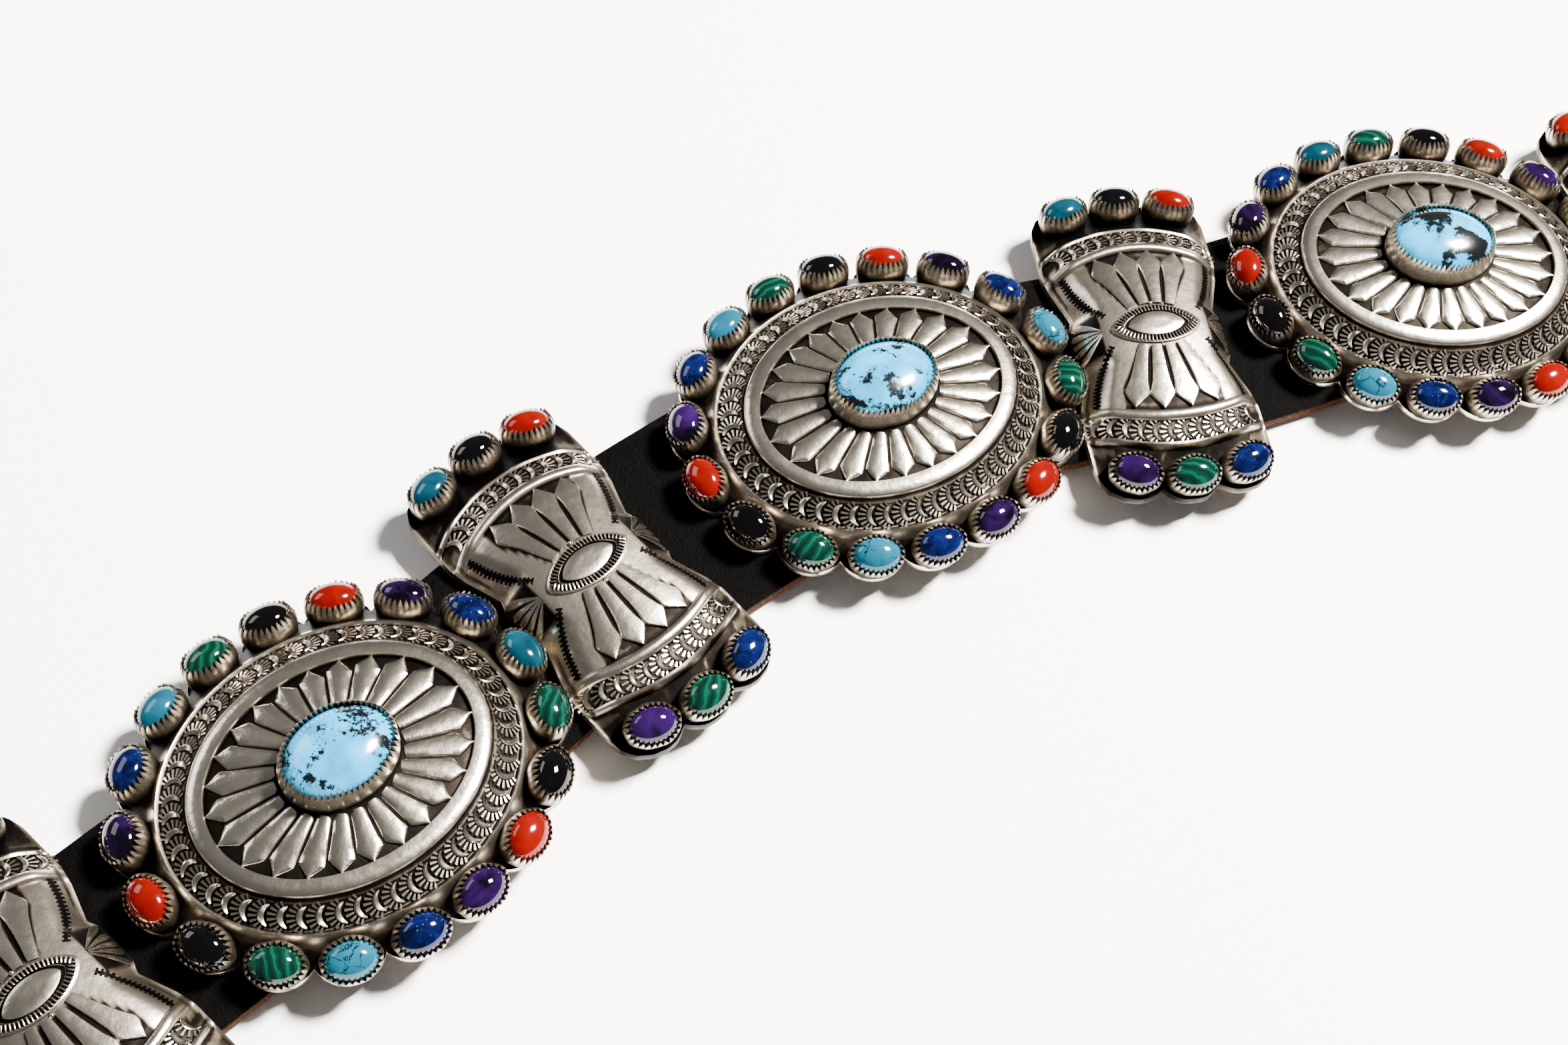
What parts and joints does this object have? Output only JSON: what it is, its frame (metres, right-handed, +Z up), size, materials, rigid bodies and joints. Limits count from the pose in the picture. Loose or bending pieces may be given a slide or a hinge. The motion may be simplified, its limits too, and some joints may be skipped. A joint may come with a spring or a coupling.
{
  "type": "concho belt",
  "caption": "Leather belt carrying oval scalloped silver conchos and bow-shaped silver spacers set with small oval stones, lying in a loose curve with a plain frame buckle.",
  "frame": {"origin": "on the surface that the belt lies on, under the middle of its bounding box", "axes": "+X along the belt from its free end to its buckle, +Y across it, +Z up from the resting surface"},
  "size_m": [0.7748, 0.4546, 0.0201],
  "materials": {
    "silver": "hand-stamped sterling silver, worn bright on the high places and oxidised dark in the recesses",
    "buckle_silver": "plain brushed silver",
    "turquoise": "polished turquoise cabochon with black matrix",
    "black_leather": "black-finished leather with raw brown cut edges"
  },
  "bodies": {
    "root": {"strap": "black_leather", "buckle": "buckle_silver", "concho_1": "silver", "concho_2": "silver", "concho_3": "silver", "concho_4": "silver", "concho_5": "silver", "concho_6": "silver", "butterfly_1": "silver", "butterfly_2": "silver", "butterfly_3": "silver", "butterfly_4": "silver", "butterfly_5": "silver", "butterfly_6": "silver", "butterfly_7": "silver", "center_stone_1": "turquoise", "center_stone_2": "turquoise", "center_stone_3": "turquoise", "center_stone_4": "turquoise", "center_stone_5": "turquoise", "center_stone_6": "turquoise"}
  },
  "joints": []
}
